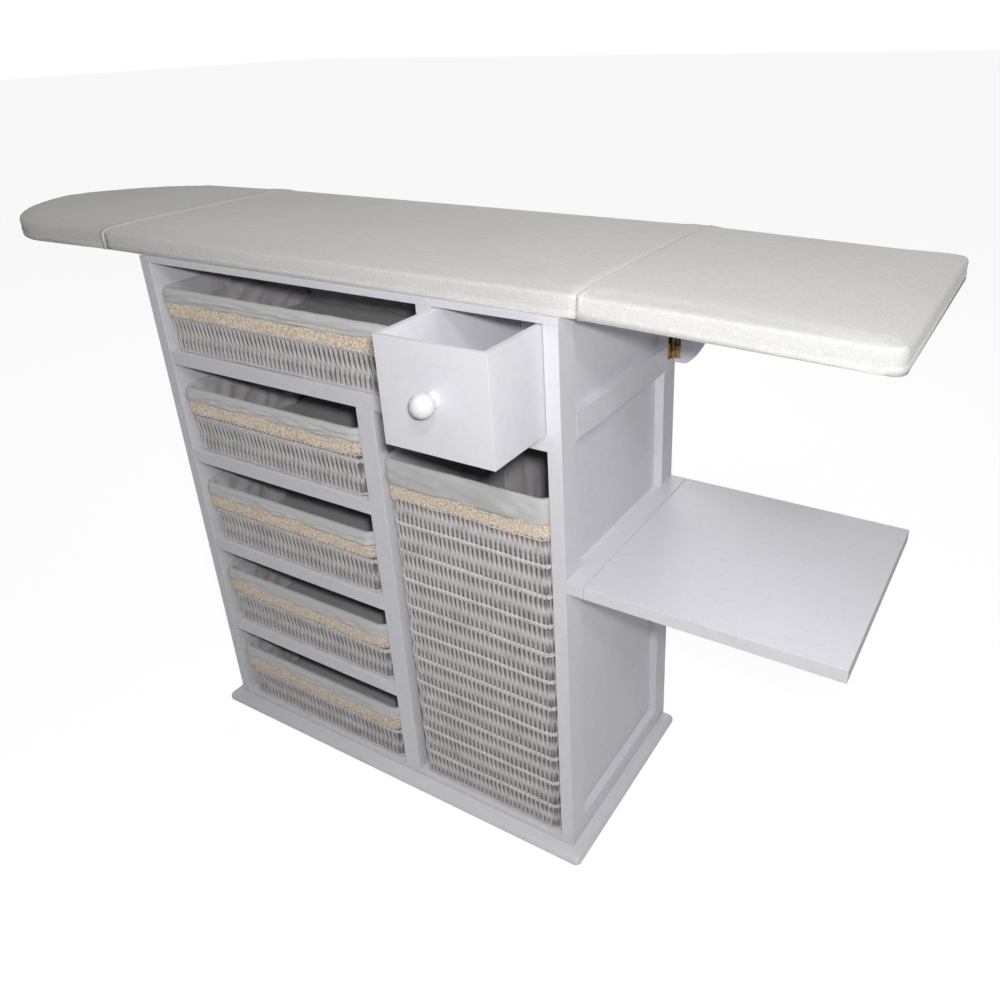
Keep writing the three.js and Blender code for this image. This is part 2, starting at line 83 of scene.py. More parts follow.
# ---- settings -------------------------------------------------------------------


def length(name, description, default):
    return FloatProperty(name=name, description=description, default=default, min=0.0, unit="LENGTH")


def angle(name, description, default):
    return FloatProperty(name=name, description=description, default=default, unit="ROTATION")


def amount(name, description, default):
    return FloatProperty(name=name, description=description, default=default, min=0.0)


def colour(name, description, default):
    return FloatVectorProperty(
        name=name, description=description, default=default, size=3, min=0.0, max=1.0, subtype="COLOR"
    )


class CabinetFinishes(bpy.types.PropertyGroup):
    """Colours of the cabinet's finishes."""

    paint: colour("Paint", "Satin paint on the carcass", (0.74, 0.735, 0.775))
    cover: colour("Cover", "Cotton cover of the padded board", (0.71, 0.70, 0.675))
    willow: colour("Willow", "Painted willow strands", (0.60, 0.58, 0.575))
    willow_dark: colour("Willow streaks", "Where the willow's paint is thin", (0.40, 0.38, 0.37))
    # Painted shade: the near-black tone that strands take where they pass behind the rods
    painted_shade: colour("Hollow", "Deepest strands between the rods", (0.05, 0.045, 0.04))
    liner: colour("Liner", "Basket liner cloth", (0.60, 0.605, 0.595))
    # Painted shade: a darker tone for the liner cloth inside a basket, where shade falls
    inside_shade: colour("Lining", "Darker side of the liner cloth, inside a basket", (0.52, 0.505, 0.52))
    lace: colour("Lace", "Crocheted edging", (0.69, 0.60, 0.49))
    brass: colour("Brass", "Hinges where they are worn bright", (0.72, 0.50, 0.22))
    tarnish: colour("Tarnish", "Hinges where they are dull", (0.10, 0.07, 0.045))


class BoardSizes(bpy.types.PropertyGroup):
    """Sizes of the painted boards' edges and of the knob."""

    edge: length("Edge", "Rounding of a painted board's edges", 0.7 * MM)
    drawer_edge: length("Drawer edge", "Rounding of the drawer's edges", 0.35 * MM)
    nosing: length("Nosing", "Rounding of the base board's edges", 7.9 * MM)
    knob_base: length("Knob base", "Radius of the knob's foot", 10.5 * MM)
    knob_neck: length("Knob neck", "Radius of the knob's neck", 7.5 * MM)
    screw: length("Screw", "Radius of a hinge screw's head", 1.9 * MM)


class WeaveSizes(bpy.types.PropertyGroup):
    """Sizes of the woven willow."""

    tall_pitch: length("Tall strand pitch", "From one strand to the next, tall basket", 3.85 * MM)
    low_pitch: length("Low strand pitch", "From one strand to the next, low baskets", 4.35 * MM)
    strand: length("Strand", "Half the width of a strand halfway between two rods", 2.2 * MM)
    thin: length("Strand thickness", "Half the thickness of a strand", 0.9 * MM)
    depth: length("Strand depth", "How far a strand swings to each side of the rods", 1.8 * MM)
    rod: length("Rod", "Radius of each of the two rods that twist around the strands", 2.2 * MM)
    twist: length("Twist", "How far the twisted rods stand from their shared line", 2.1 * MM)
    wall: length("Wall", "Thickness of a woven wall", 7.2 * MM)
    tall_rows: length("Tall basket's rows", "Height of one row on the tall basket", 47.2 * MM)
    low_rows: length("Low baskets' rows", "Height of one row on the low baskets", 56 * MM)
    corner: length("Corner", "Radius of a basket's upright corners", 18 * MM)
    taper: length("Taper", "How much a basket's foot draws in on each side", 4 * MM)
    loose: length("Loose", "Room that cloth and lace take where nothing presses them", 8 * MM)


class LinerSizes(bpy.types.PropertyGroup):
    """Sizes of the liners and their edging."""

    cloth: length("Cloth", "Thickness of the liner's cloth", 0.7 * MM)
    fold: length("Fold", "Drop of the cloth over a low basket's rim", 19 * MM)
    tall_fold: length("Tall fold", "Drop of the cloth over the tall basket's rim", 35 * MM)
    lace: length("Lace", "Height of the crocheted edging", 24 * MM)
    stitch: length("Stitch", "Width of one crocheted ring", 4.4 * MM)
    yarn: length("Yarn", "Radius of the crochet yarn", 0.85 * MM)
    crease: length("Crease", "Depth of the folds inside a basket", 12 * MM)
    puff: length("Puff", "How far the turned-down cloth stands off the wall", 2.4 * MM)


class PadSizes(bpy.types.PropertyGroup):
    """Sizes of the padded board's cover."""

    grid: length("Cloth grid", "Spacing of the grid that the cover is simulated on", 8 * MM)
    seam_edge: length("Seam edge", "Rounding of the cover's upper edge at a seam", 1.8 * MM)
    rim: length("Rim", "Width of the rim around the underside", 2.6 * MM)
    recess: length("Recess", "How far the underside lies above its rim", 0.8 * MM)
    held_drop: length("Held below", "Where the cover is held, measured down from its top", 3.5 * MM)
    swell: length("Swell", "Furthest that the padding pushes the cover", 1.4 * MM)
    hem: length("Hem", "Height of the hem around the lower edge", 9 * MM)
    binding: length("Binding", "Width of the band beside each seam", 8 * MM)
    band: length("Band", "Thickness of the hem and the bands", 0.7 * MM)
    frames: IntProperty(name="Frames", description="Frames of cloth simulation", default=20, min=2)


class StageSettings(bpy.types.PropertyGroup):
    """Camera and light on the stage."""

    eye: FloatVectorProperty(
        name="Eye", description="Where the camera stands", default=(0.815588, -0.923417, 1.111436),
        unit="LENGTH",
    )
    yaw: angle("Yaw", "How far the camera turns left of +Y", 0.548921)
    pitch: angle("Pitch", "How far the camera looks down", 0.459397)
    roll: angle("Roll", "How far the camera leans", -0.0332444)
    lens: amount("Lens", "Focal length in mm on a 36 mm frame", 31.357)
    shift: FloatVectorProperty(
        name="Shift", description="Shift of the frame across and up", size=2, default=(-0.0559, -0.0462)
    )
    flash: amount("Flash", "Power of the light beside the camera", 8.6)
    fill: amount("Fill", "Power of the light behind the camera", 9.7)
    window: amount("Window", "Power of the soft light on the right", 7.3)
    top: amount("Top", "Power of the soft light above", 5.6)
    rear: amount("Rear", "Power of the soft light behind the cabinet", 16.0)
    sky: amount("Sky", "Strength of the surrounding light", 0.05)
    paper: amount("Paper", "Brightness of the white surroundings", 1.0)


# ---- finishes -------------------------------------------------------------------


class Finish:
    """A procedural material: one principled shader, and short calls for its textures."""

    def __init__(self, name, base, roughness, metallic=0.0):
        self.material = bpy.data.materials.new(name)
        self.material.use_nodes = True
        self.tree = self.material.node_tree
        self.shader = self.tree.nodes["Principled BSDF"]
        self.shader.inputs["Base Color"].default_value = (*base, 1.0)
        self.shader.inputs["Roughness"].default_value = roughness
        self.shader.inputs["Metallic"].default_value = metallic
        self.place = self.tree.nodes.new("ShaderNodeTexCoord").outputs["Object"]

    def link(self, source, target):
        self.tree.links.new(source, target)

    def add(self, kind, **inputs):
        """Adds a node; each input is a number, a colour or another node's output."""
        node = self.tree.nodes.new(f"ShaderNode{kind}")
        for name, value in inputs.items():
            if isinstance(value, bpy.types.NodeSocket):
                self.link(value, node.inputs[name])
            else:
                node.inputs[name].default_value = value
        return node

    def noise(self, scale, detail=3.0, stretch=None):
        place = self.place
        if stretch:
            place = self.add("Mapping", Scale=stretch, Vector=place).outputs["Vector"]
        return self.add("TexNoise", Scale=scale, Detail=detail, Vector=place).outputs["Fac"]

    def ramp(self, value, low, high, start, end):
        node = self.add("ValToRGB", Fac=value)
        for stop, tone, position in zip(node.color_ramp.elements, (low, high), (start, end)):
            stop.color = (*tone, 1.0)
            stop.position = position
        return node.outputs["Color"]

    def math(self, operation, first, second):
        node = self.add("Math")
        node.operation = operation
        for socket, value in zip(node.inputs, (first, second)):
            if isinstance(value, float):
                socket.default_value = value
            else:
                self.link(value, socket)
        return node.outputs["Value"]

    def blend(self, first, second, share, kind):
        node = self.add("Mix", Factor=share)
        node.data_type = "RGBA"
        node.blend_type = kind
        self.link(first, node.inputs["A"])
        self.link(second, node.inputs["B"])
        return node.outputs["Result"]

    def darken(self, tint, shade_tint):
        """Mixes a tint with a colour of painted shade, as far as the mesh's shade attribute says."""
        shade_amount = self.add("Attribute")
        shade_amount.attribute_name = PAINTED_SHADE
        shade_colour = self.add("RGB").outputs["Color"]
        shade_colour.default_value = (*shade_tint, 1.0)
        return self.blend(tint, shade_colour, shade_amount.outputs["Fac"], "MIX")

    def bump(self, height, strength, distance):
        node = self.add("Bump", Strength=strength, Distance=distance, Height=height)
        self.link(node.outputs["Normal"], self.shader.inputs["Normal"])

    def colour_by(self, tint):
        self.link(tint, self.shader.inputs["Base Color"])

    def roughen_by(self, value):
        self.link(value, self.shader.inputs["Roughness"])


def shade(base, factor):
    return tuple(min(1.0, channel * factor) for channel in base)


def painted(name, base, rough=0.4):
    """Satin paint with faint brush marks and a little cloudiness."""
    finish = Finish(name, base, rough)
    cloud = finish.ramp(finish.noise(2.2, 4.0), shade(base, 0.965), shade(base, 1.03), 0.35, 0.65)
    speck = finish.ramp(finish.noise(90.0, 2.0), (0.965,) * 3, (1.0,) * 3, 0.34, 0.46)
    finish.colour_by(finish.blend(cloud, speck, 1.0, "MULTIPLY"))
    gloss = finish.math("MULTIPLY", finish.noise(14.0), 0.16)
    finish.roughen_by(finish.math("ADD", gloss, rough - 0.08))
    strokes = finish.math("ADD", finish.noise(60.0, 3.0, (1.0, 1.0, 9.0)), finish.noise(300.0, 2.0))
    finish.bump(strokes, 0.12, 0.0004)
    return finish.material


def woven_cloth(name, base, threads, relief, stretch=0.04, inside_shade=None):
    """Plain-weave cloth: threads along each axis, with slubs and a soft sheen."""
    finish = Finish(name, base, 0.92)
    along = [
        finish.noise(1.0, 2.0, tuple(threads * (stretch if axis == other else 1.0) for other in range(3)))
        for axis in range(3)
    ]
    weave = finish.math("ADD", finish.math("ADD", along[0], along[1]), along[2])
    even = finish.math("MULTIPLY", weave, 1.0 / 3.0)
    thread = finish.ramp(even, shade(base, 0.90), shade(base, 1.06), 0.40, 0.60)
    cloud = finish.ramp(finish.noise(5.0, 4.0), (0.955,) * 3, (1.0,) * 3, 0.35, 0.62)
    tint = finish.blend(thread, cloud, 1.0, "MULTIPLY")
    # Painted shade: where given, the cloth darkens to this tone wherever the mesh's shade attribute is set
    finish.colour_by(finish.darken(tint, inside_shade) if inside_shade else tint)
    finish.bump(even, relief, 0.0006)
    finish.shader.inputs["Sheen Weight"].default_value = 0.25
    return finish.material


def willow(base, dark, painted_shade):
    """Painted willow: streaks along the strands, thin paint in places, and painted shade on the strands that pass
    behind the rods.
    """
    finish = Finish("painted_willow", base, 0.62)
    streak = finish.noise(900.0, 3.0, (1.0, 1.0, 0.06))
    patch = finish.noise(38.0, 4.0)
    mixed = finish.math("ADD", finish.math("MULTIPLY", streak, 0.6), finish.math("MULTIPLY", patch, 0.4))
    tint = finish.ramp(mixed, dark, shade(base, 1.12), 0.28, 0.50)
    finish.colour_by(finish.darken(tint, painted_shade))
    finish.bump(streak, 0.35, 0.0005)
    return finish.material


def crochet_cotton(base):
    """Ecru crochet cotton with twisted yarn."""
    finish = Finish("crochet_cotton", base, 0.9)
    finish.colour_by(
        finish.ramp(finish.noise(300.0, 4.0), shade(base, 0.66), shade(base, 1.2), 0.34, 0.58)
    )
    finish.bump(finish.noise(1500.0, 2.0), 0.5, 0.0004)
    finish.shader.inputs["Sheen Weight"].default_value = 0.2
    return finish.material


def aged_brass(bright, dull):
    """Brass that has gone dull, with bright worn places."""
    finish = Finish("aged_brass", bright, 0.34, metallic=1.0)
    wear = finish.noise(70.0, 5.0)
    finish.colour_by(finish.ramp(wear, dull, bright, 0.44, 0.58))
    finish.roughen_by(finish.ramp(wear, (0.62,) * 3, (0.26,) * 3, 0.40, 0.60))
    finish.bump(finish.noise(600.0, 2.0), 0.15, 0.0003)
    return finish.material


FINISHES = {}


def make_finishes(settings):
    FINISHES["paint"] = painted("satin_paint", settings.paint)
    FINISHES["plywood"] = painted("painted_plywood", shade(settings.paint, 0.94), 0.55)
    FINISHES["cover"] = woven_cloth("cotton_cover", settings.cover, 750.0, 0.35, 0.12)
    # Painted shade: the liner takes a darker tone inside a basket
    FINISHES["liner"] = woven_cloth("liner_cotton", settings.liner, 1100.0, 0.4, inside_shade=settings.inside_shade)
    # Painted shade: the willow's strands behind the rods darken to a near-black tone
    FINISHES["willow"] = willow(settings.willow, settings.willow_dark, settings.painted_shade)
    FINISHES["lace"] = crochet_cotton(settings.lace)
    FINISHES["brass"] = aged_brass(settings.brass, settings.tarnish)


# ---- shapes ---------------------------------------------------------------------


def in_scene(name, data):
    """Puts a mesh, a light or a camera in the scene as an object."""
    item = bpy.data.objects.new(name, data)
    bpy.context.scene.collection.objects.link(item)
    return item


def add_piece(name, bm, finish, body, stands_for=(), sharp=25.0):
    """Puts a finished mesh in the scene, on its body and in its material slot."""
    mesh = bpy.data.meshes.new(name)
    bm.to_mesh(mesh)
    bm.free()
    mesh.shade_smooth()
    mesh.set_sharp_from_angle(angle=math.radians(sharp))
    mesh.materials.append(FINISHES[finish])
    piece = in_scene(name, mesh)
    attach(piece, body)
    if stands_for:
        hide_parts(*stands_for)
    return piece


def body_of(node):
    bodies = RECORD["behaviour"]["bodies"]
    return next(body for body, nodes in bodies.items() if node in nodes)


def everything(bm):
    return bm.verts[:] + bm.edges[:] + bm.faces[:]


def verts_in(items):
    return [item for item in items if isinstance(item, bmesh.types.BMVert)]


def open_edges(bm):
    return [edge for edge in bm.edges if edge.is_boundary]


def around(radius, turn, height):
    """A point on a circle, at which noise is read so that it closes around a basket."""
    return Vector((radius * math.cos(turn), radius * math.sin(turn), height))


def merged_copy(node):
    """A CAD solid's mesh with its triangles joined into flat faces."""
    bm = bmesh.new()
    bm.from_mesh(frame["nodes"][node].data)
    bmesh.ops.remove_doubles(bm, verts=bm.verts, dist=MERGE)
    bmesh.ops.dissolve_limit(bm, angle_limit=math.radians(1.0), verts=bm.verts, edges=bm.edges)
    return bm


def bevel(bm, edges, width, segments, clamp=False):
    bmesh.ops.bevel(
        bm, geom=edges, offset=width, affect="EDGES", segments=segments, profile=0.5,
        material=-1, clamp_overlap=clamp,
    )


def round_edges(bm, width, segments=2, least_angle=35.0):
    least = math.radians(least_angle)
    joined = [edge for edge in bm.edges if len(edge.link_faces) == 2]
    bevel(bm, [edge for edge in joined if edge.calc_face_angle(0.0) > least], width, segments, True)


def repeat_along(bm, count, step):
    """Copies what bm holds until there are count of it, each a step after the last."""
    made = 1
    while made < count:
        take = min(made, count - made)
        source = everything(bm)
        if take < made:
            reach = (take - 0.5) * step.length
            heading = step.normalized()
            source = [
                item for item in source
                if all(v.co.dot(heading) < reach for v in getattr(item, "verts", [item]))
            ]
        copied = bmesh.ops.duplicate(bm, geom=source)["geom"]
        bmesh.ops.translate(bm, vec=step * made, verts=verts_in(copied))
        made += take


class BasketLoop:
    """The rounded rectangle that a basket's wall follows, from the middle of the back."""

    def __init__(self, name, sizes):
        self.node = f"{name}_basket"
        self.low, self.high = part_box(self.node)
        self.corner = sizes.corner
        self.taper = sizes.taper
        self.height = self.high.z - self.low.z
        self.middle = (self.low + self.high) / 2
        self.run_x = (self.high.x - self.low.x) / 2 - self.corner
        self.run_y = (self.high.y - self.low.y) / 2 - self.corner
        self.arc = math.pi / 2 * self.corner
        self.length = 4 * (self.run_x + self.run_y + self.arc)
        wall_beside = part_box("lower_divider" if name == "tall" else "front_post_left")[1].x
        self.side_share = min(1.0, (self.low.x - wall_beside) / sizes.loose)

    def frame_at(self, share):
        """The corner skeleton's point and the outward direction at a share of the loop."""
        x, y, arc = self.run_x, self.run_y, self.arc
        along = (share % 1.0) * self.length
        sides = [
            (x, (0, y), (-x, y), 90.0), (2 * y, (-x, y), (-x, -y), 180.0),
            (2 * x, (-x, -y), (x, -y), 270.0), (2 * y, (x, -y), (x, y), 0.0),
            (x + MERGE, (x, y), (0, y), 90.0),
        ]
        for run, start, end, angle in sides:
            if along <= run:
                point = Vector(start).lerp(Vector(end), along / run)
                turn = math.radians(angle)
                break
            along -= run
            if along <= arc:
                point = Vector(end)
                turn = math.radians(angle + 90.0 * along / arc)
                break
            along -= arc
        else:
            point, turn = Vector((0, y)), math.radians(90.0)
        return point, Vector((math.cos(turn), math.sin(turn)))

    def at(self, share, height, outward=0.0, scale=1.0):
        point, normal = self.frame_at(share)
        if outward > 0.0:
            outward *= 1.0 - (1.0 - self.side_share) * abs(normal.x)
        draw_in = self.taper * (1.0 - min(max(height / self.height, 0.0), 1.0))
        flat = (point + normal * (self.corner + outward - draw_in)) * scale
        return Vector((self.middle.x + flat.x, self.middle.y + flat.y, self.low.z + height))


def wrapped_grid(count, levels, place):
    """A sheet of count by levels faces, joined into a ring; place gives each point."""
    bm = bmesh.new()
    bmesh.ops.create_grid(bm, x_segments=count, y_segments=levels, size=0.5)
    for vert in bm.verts:
        share = vert.co.x + 0.5
        level = round((vert.co.y + 0.5) * levels)
        vert.co = place(0.0 if share > 1.0 - 0.5 / count else share, level)
    bmesh.ops.remove_doubles(bm, verts=bm.verts, dist=MERGE)
    return bm


def absorb(bm, other):
    """Adds another bmesh to bm and frees it."""
    mesh = bpy.data.meshes.new("part")
    other.to_mesh(mesh)
    other.free()
    bm.from_mesh(mesh)
    bpy.data.meshes.remove(mesh)


# ---- woven baskets --------------------------------------------------------------


def ring_rod(loop, height, outward, radius, sides=5, step=8 * MM, twist=0.0, turns=0, start=0.0):
    """A rod bent around a basket, straight or twisted around a line beside it."""

    def place(share, level):
        section = math.tau * level / sides
        turn = math.tau * (turns * share + start)
        wander = 1.5 * MM * noise.noise(around(3, math.tau * share, height * 90))
        rise = height + wander + twist * math.sin(turn)
        return loop.at(
            share, rise + radius * math.sin(section),
            outward + 0.4 * twist * math.cos(turn) + radius * math.cos(section),
        )

    bm = wrapped_grid(round(loop.length / step), sides, place)
    bmesh.ops.recalc_face_normals(bm, faces=bm.faces)
    return bm


def strand_count(loop, pitch):
    """How many strands stand around a basket: a multiple of four, so that the rods' twist closes."""
    return 4 * round(loop.length / pitch / 4)


def upright_strands(loop, sizes, pitch, row, foot, top, seed):
    """Strands that swing from one side of the rods to the other, row by row."""
    count = strand_count(loop, pitch)
    step = loop.length / count
    heights = [foot]
    for line in range(math.ceil(top / row)):
        heights += [row * (line + share) for share in ROW_LEVELS if foot < row * (line + share) < top]
    heights.append(top)
    bm = bmesh.new()
    bmesh.ops.create_circle(bm, segments=4, radius=1.0, cap_ends=False)
    bmesh.ops.scale(bm, vec=(sizes.strand, sizes.thin, 1.0), verts=bm.verts)
    repeat_along(bm, count, Vector((step, 0, 0)))
    edges = bm.edges[:]
    for low, high in zip(heights, heights[1:]):
        grown = bmesh.ops.extrude_edge_only(bm, edges=edges)["geom"]
        edges = [item for item in grown if isinstance(item, bmesh.types.BMEdge) and item.is_boundary]
        bmesh.ops.translate(bm, vec=(0, 0, high - low), verts=verts_in(grown))
    bmesh.ops.holes_fill(bm, edges=open_edges(bm), sides=4)
    # Painted shade: strands that swing behind the rods are darkened towards the shade colour, the further back the
    # darker
    shade_amount = bm.verts.layers.float.new(PAINTED_SHADE)
    for vert in bm.verts:
        index = round(vert.co.x / step)
        height = foot + vert.co.z
        side = 1.0 if index % 2 else -1.0
        swing = side * math.cos(math.pi * height / row)
        vert[shade_amount] = min(1.0, max(0.0, (-swing - 0.1) / 0.45))
        sway = 0.09 * step * noise.noise(Vector((index * 0.9, height * 25.0, seed)))
        bulge = 0.25 * sizes.thin * noise.noise(Vector((index * 1.7, height * 60.0, seed + 9)))
        width = 1.0 - 0.2 * max(0.0, swing)
        across = (vert.co.x - index * step) * width * step / sizes.tall_pitch
        share = (index * step + across + sway) / loop.length
        vert.co = loop.at(share, height, -sizes.wall / 2 + swing * sizes.depth + bulge + vert.co.y)
    bmesh.ops.recalc_face_normals(bm, faces=bm.faces)
    return bm


def basket_floor(loop, sizes):
    """The basket's woven floor, as a plate inside the foot of the wall."""
    bm = bmesh.new()
    bmesh.ops.create_circle(bm, segments=96, radius=1.0, cap_ends=True)
    for vert in bm.verts:
        share = math.atan2(vert.co.y, vert.co.x) / math.tau % 1.0
        vert.co = loop.at(share, 1.5 * MM, -sizes.wall / 2)
    grown = bmesh.ops.extrude_face_region(bm, geom=bm.faces[:])["geom"]
    bmesh.ops.translate(bm, vec=(0, 0, FLOOR_THICKNESS), verts=verts_in(grown))
    bmesh.ops.recalc_face_normals(bm, faces=bm.faces)
    return bm


def weave_basket(name, sizes):
    """A basket's strands as one piece, and its rods, borders and floor as another."""
    loop = BasketLoop(name, sizes)
    tall = name == "tall"
    row = sizes.tall_rows if tall else sizes.low_rows
    pitch = sizes.tall_pitch if tall else sizes.low_pitch
    foot = 3.0 * MM
    top = loop.height - 2.0 * MM
    strands = upright_strands(loop, sizes, pitch, row, foot, top, 10.0 * BASKETS.index(name))
    add_piece(f"{name}_weave", strands, "willow", loop.node, (loop.node,), 60.0)

    turns = strand_count(loop, pitch) // 4
    fine = loop.length / (8 * turns)
    middle = -sizes.wall / 2
    line = middle + 1.0 * MM
    rods = bmesh.new()
    for level in range(1, math.ceil(top / row)):
        for start in (0.0, 0.5):
            absorb(rods, ring_rod(loop, level * row, line, sizes.rod, 5, fine, sizes.twist, turns, start))
    top_border = loop.height - BORDER
    for height, outward in ((BORDER, -BORDER - 0.4 * MM), (BORDER, -3.2 * BORDER), (top_border, middle)):
        absorb(rods, ring_rod(loop, height, outward, BORDER, 6))
    absorb(rods, basket_floor(loop, sizes))
    add_piece(f"{name}_rods", rods, "willow", loop.node, (), 60.0)


# ---- liners and lace ------------------------------------------------------------


def crease(share, height, seed):
    """Folds that lean as they run down a liner's walls: 0 at the wall, 1 at a crest."""
    spot = around(5.0, math.tau * (share + 0.006 * height), seed + 0.12 * height)
    broad = 1.0 - min(1.0, 3.2 * abs(noise.noise(spot)))
    fine = noise.noise(Vector((spot.x * 3.4, spot.y * 3.4, seed + height * 0.9)))
    return min(1.0, max(0.0, 0.75 * broad ** 1.5 + 0.3 * fine))


def line_basket(name, sizes, weave):
    """The cloth in a basket: floor, walls, over the rim and down the outside."""
    loop = BasketLoop(name, weave)
    seed = 3.0 + 7.0 * BASKETS.index(name)
    fold = sizes.tall_fold if name == "tall" else sizes.fold
    rim = loop.height + 0.5 * MM
    turned = rim - RIM_ROLL
    floor = LINER_FLOOR
    inner = -weave.wall - 0.8 * MM
    outer = 1.3 * MM
    wall_levels = 24 if name == "tall" else 12
    path = [("floor", scale) for scale in (0.02, 0.25, 0.5, 0.72, 0.88, 0.95)]
    path += [("wall", floor + (turned - floor) * k / wall_levels) for k in range(wall_levels + 1)]
    path += [("rim", angle) for angle in (0.25, 0.5, 0.75, 1.0)]
    path += [("fold", turned - (fold - RIM_ROLL) * k / 8) for k in range(1, 9)]

    def place(share, level):
        kind, value = path[level]
        wrinkle = crease(share, level, seed)
        if kind == "floor":
            point = loop.at(share, floor, inner - 2 * MM, value)
            point.z += sizes.crease * 0.35 * (0.6 + noise.noise(Vector((point.x * 22, point.y * 22, seed))))
            return point
        if kind == "wall":
            depth = (rim - value) / (rim - floor)
            slack = sizes.crease * min(1.0, 4.0 * depth) * (0.1 + 0.9 * wrinkle)
            return loop.at(share, value, inner - slack)
        ripple = 0.9 * MM * noise.noise(Vector((share * 40, seed, 4.0)))
        if kind == "rim":
            angle = math.pi * value
            reach = (outer - inner) / 2
            centre = (outer + inner) / 2
            lift = 3.2 * MM * math.sin(angle)
            return loop.at(share, turned + lift + ripple, centre - reach * math.cos(angle))
        drop = (turned - value) / fold
        turn = math.tau * share
        wave = noise.noise(around(6.0, turn, seed + 4.5 * drop))
        puff = sizes.puff * math.sin(math.pi * drop) * (0.7 + 2.2 * wave)
        foot_sag = 1.6 * MM * drop * noise.noise(around(5, turn, seed + 8))
        return loop.at(share, value + ripple + foot_sag, outer + max(-0.2 * MM, puff))

    bm = wrapped_grid(round(loop.length / (4.5 * MM)), len(path) - 1, place)
    # Painted shade: the cloth within the walls and below the rim gets the darker inside tone
    inside = bm.verts.layers.float.new(PAINTED_SHADE)
    for vert in bm.verts:
        point = vert.co - loop.middle
        in_x = abs(point.x) < loop.run_x + loop.corner - weave.wall
        in_y = abs(point.y) < loop.run_y + loop.corner - weave.wall
        vert[inside] = 1.0 if in_x and in_y and vert.co.z < loop.low.z + rim - 2 * MM else 0.0
    hole = [edge for edge in open_edges(bm) if edge.verts[0].co.z < loop.low.z + 3 * floor]
    bmesh.ops.holes_fill(bm, edges=hole, sides=0)
    bmesh.ops.recalc_face_normals(bm, faces=bm.faces)
    area = sum(face.calc_area() for face in bm.faces)
    piece = add_piece(f"{name}_cloth", bm, "liner", loop.node, (f"{name}_liner",), 60.0)
    thickness = piece.modifiers.new("cloth", "SOLIDIFY")
    thickness.thickness = sizes.cloth
    thickness.offset = 0.0


def crochet_rings(count, step, yarn):
    """A row of linked rings of yarn, standing upright along X."""
    bm = bmesh.new()
    bmesh.ops.create_circle(bm, segments=4, radius=yarn, cap_ends=False)
    bmesh.ops.translate(bm, vec=(step * 0.46, 0, 0), verts=bm.verts)
    bmesh.ops.spin(
        bm, geom=everything(bm), cent=(0, 0, 0), axis=(0, 1, 0), angle=math.tau, steps=8,
        use_merge=True,
    )
    repeat_along(bm, count, Vector((step, 0, 0)))
    return bm


def edge_basket(name, sizes, weave):
    """Crocheted edging below the liner's fold: rings in rows, with a scalloped foot."""
    loop = BasketLoop(name, weave)
    fold = sizes.tall_fold if name == "tall" else sizes.fold
    top = loop.height - fold + 3 * MM
    seed = 5.0 + 3.0 * BASKETS.index(name)
    rise = sizes.lace / LACE_ROWS
    count = round(loop.length / sizes.stitch)
    step = loop.length / count
    bm = crochet_rings(count, step, sizes.yarn)
    single = everything(bm)
    for line in range(1, LACE_ROWS):
        copied = bmesh.ops.duplicate(bm, geom=single)["geom"]
        shift = step / 2 if line % 2 else 0.0
        bmesh.ops.translate(bm, vec=(shift, 0, -rise * line), verts=verts_in(copied))
    for vert in bm.verts:
        line = round(-vert.co.z / rise)
        index = math.floor(vert.co.x / step + 0.5)
        jitter = noise.noise(Vector((index * 1.3, line * 2.1, seed)))
        lift = top - rise / 2 + vert.co.z + lace_sag(vert.co.x / loop.length, seed) + 0.9 * MM * jitter
        outward = 1.5 * MM + vert.co.y + 0.6 * MM * noise.noise(Vector((index * 2.3, line * 1.1, seed + 4)))
        vert.co = loop.at((vert.co.x + 0.7 * MM * jitter) / loop.length, lift, outward)
    bmesh.ops.recalc_face_normals(bm, faces=bm.faces)
    absorb(bm, lace_ground(loop, top, sizes, seed))
    add_piece(f"{name}_lace", bm, "lace", loop.node, (), 60.0)


def lace_sag(share, seed):
    """How far the edging hangs above or below its line."""
    return 2.2 * MM * noise.noise(around(5, math.tau * share, seed))


def lace_ground(loop, top, sizes, seed):
    """The close ground of stitches behind the rings, as a thin closed band."""
    corners = (
        (0.3 * MM, top), (0.3 * MM, top - 0.86 * sizes.lace),
        (1.0 * MM, top - 0.86 * sizes.lace), (1.0 * MM, top),
    )

    def place(share, level):
        outward, height = corners[level % 4]
        return loop.at(share, height + lace_sag(share, seed), outward)

    bm = wrapped_grid(round(loop.length / (6 * MM)), 4, place)
    bmesh.ops.recalc_face_normals(bm, faces=bm.faces)
    return bm


# ---- padded board ---------------------------------------------------------------


def pad_turn(name):
    """How a pad is turned at rest: the flaps droop by what their hinges' range leaves."""
    if name == "centre":
        return Matrix.Identity(3)
    fold = next(joint for joint in frame["joints"] if joint["name"] == f"{name}_flap_fold")
    droop = math.pi / 2 - math.radians(fold["range_deg"][1])
    return Matrix.Rotation(droop if name == "right" else -droop, 3, "Y")


def pad_seams(name):
    """For each seam of a pad, the direction that leads away from it along the board."""
    along = pad_turn(name) @ Vector((1, 0, 0))
    return {"centre": (along, -along), "right": (along,), "left": (-along,)}[name]


def lowest(verts, direction):
    return min(vert.co.dot(direction) for vert in verts)


